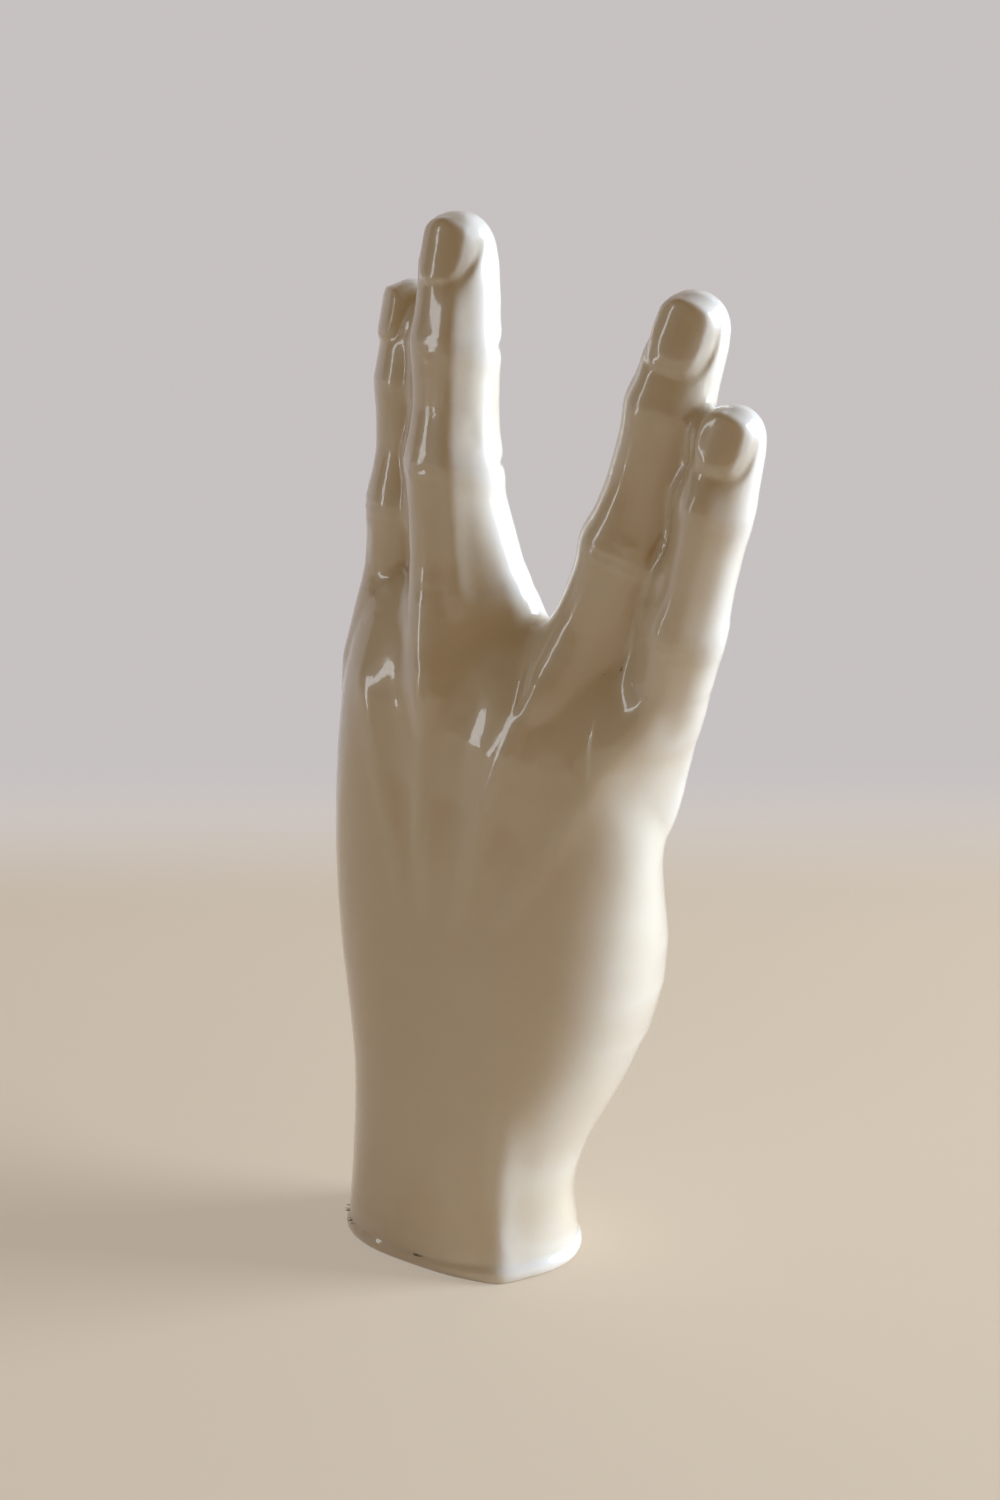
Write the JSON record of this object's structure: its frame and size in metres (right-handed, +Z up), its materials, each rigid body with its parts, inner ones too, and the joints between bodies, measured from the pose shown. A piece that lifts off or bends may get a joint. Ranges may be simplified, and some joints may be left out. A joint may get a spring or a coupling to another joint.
{
  "type": "ceramic hand sculpture",
  "caption": "Life-size glazed ceramic right hand standing on its wrist, fingers straight up in two pairs with a V gap between middle and ring finger, thumb forward.",
  "frame": {"origin": "centre of the foot's flat underside, beside its vent", "axes": "+Z up along the wrist, -Y out of the back of the hand, +Y out of the palm, +X to the little-finger side"},
  "size_m": [0.1341, 0.0841, 0.2253],
  "materials": {
    "glaze": "gloss ivory glaze over a cream body"
  },
  "bodies": {
    "root": {"palm_and_wrist": "glaze", "index_finger": "glaze", "middle_finger": "glaze", "ring_finger": "glaze", "little_finger": "glaze", "thumb": "glaze", "foot_slab": "glaze"}
  },
  "joints": []
}
